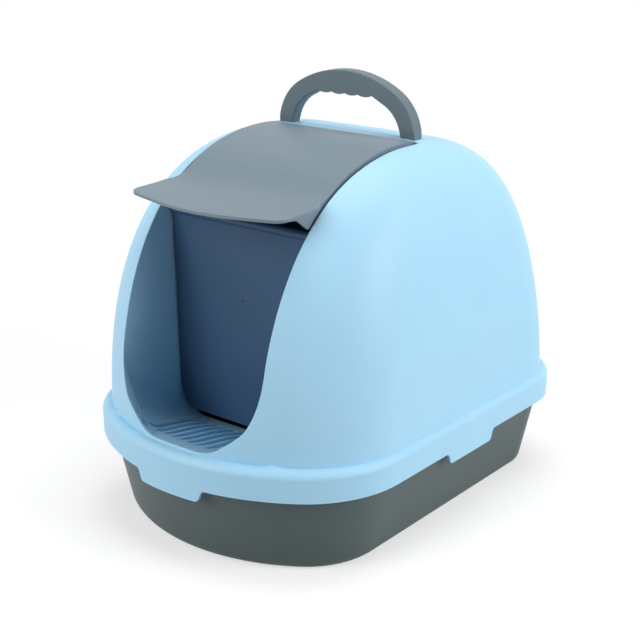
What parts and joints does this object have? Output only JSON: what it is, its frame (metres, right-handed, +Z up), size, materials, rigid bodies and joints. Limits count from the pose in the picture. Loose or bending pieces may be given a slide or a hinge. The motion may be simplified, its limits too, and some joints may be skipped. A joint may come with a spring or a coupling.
{
  "type": "covered litter box",
  "caption": "Covered cat litter box with a domed pale blue hood, grey flip lid, carry handle, hanging swing door, ribbed porch step and dark tray",
  "frame": {"origin": "on the floor, under the middle of the rim, which is the object's plan", "axes": "+Z up, -Y towards the front with the entrance, +X to the right seen from the front"},
  "size_m": [0.375, 0.4999, 0.4695],
  "materials": {
    "hood_blue": "fine moulded grain",
    "lid_grey": "fine moulded grain",
    "handle_grey": "satin moulded",
    "tray_grey": "satin moulded",
    "door_smoke": "smoke tinted, polished"
  },
  "bodies": {
    "tray": {"base_tray": "tray_grey"},
    "hood": {"hood": "hood_blue", "carry_handle": "handle_grey"},
    "lid": {"flip_lid": "lid_grey"},
    "door": {"swing_door": "door_smoke"}
  },
  "joints": [
    {"name": "hood_lift", "type": "slide", "parent": "tray", "child": "hood", "axis": [0, 0, 1], "range_m": [0, 0.15]},
    {"name": "lid_hinge", "type": "hinge", "parent": "hood", "child": "lid", "pos_m": [0, 0.024, 0.395], "axis": [-1, 0, 0], "range_deg": [0, 100]},
    {"name": "door_hinge", "type": "hinge", "parent": "hood", "child": "door", "pos_m": [0, -0.13, 0.334], "axis": [1, 0, 0], "range_deg": [-70, 70]}
  ]
}
